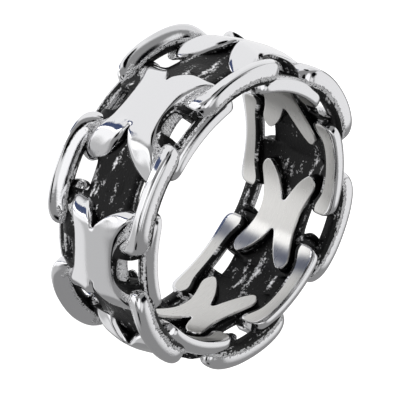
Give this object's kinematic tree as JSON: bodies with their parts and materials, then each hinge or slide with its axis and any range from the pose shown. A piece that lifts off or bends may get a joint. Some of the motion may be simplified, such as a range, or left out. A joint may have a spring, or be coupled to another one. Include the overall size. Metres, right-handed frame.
{
  "type": "chain link finger ring",
  "caption": "Cast steel finger ring shaped like interlocked chain links, with crossed plates, rounded side bars and pierced gaps.",
  "frame": {"origin": "middle of the ring's lower edge, on the finger's axis, at the surface it lies on", "axes": "+Z along the finger's axis; +X through the middle of an outer plate"},
  "size_m": [0.0248, 0.0252, 0.0094],
  "materials": {
    "polished_steel": "mirror polished cast stainless steel",
    "ground_steel": "satin, ground round the finger",
    "blackened_steel": "oxidised cast recesses with bright grains"
  },
  "bodies": {
    "root": {"cast_chain_band": "polished_steel"}
  },
  "joints": []
}
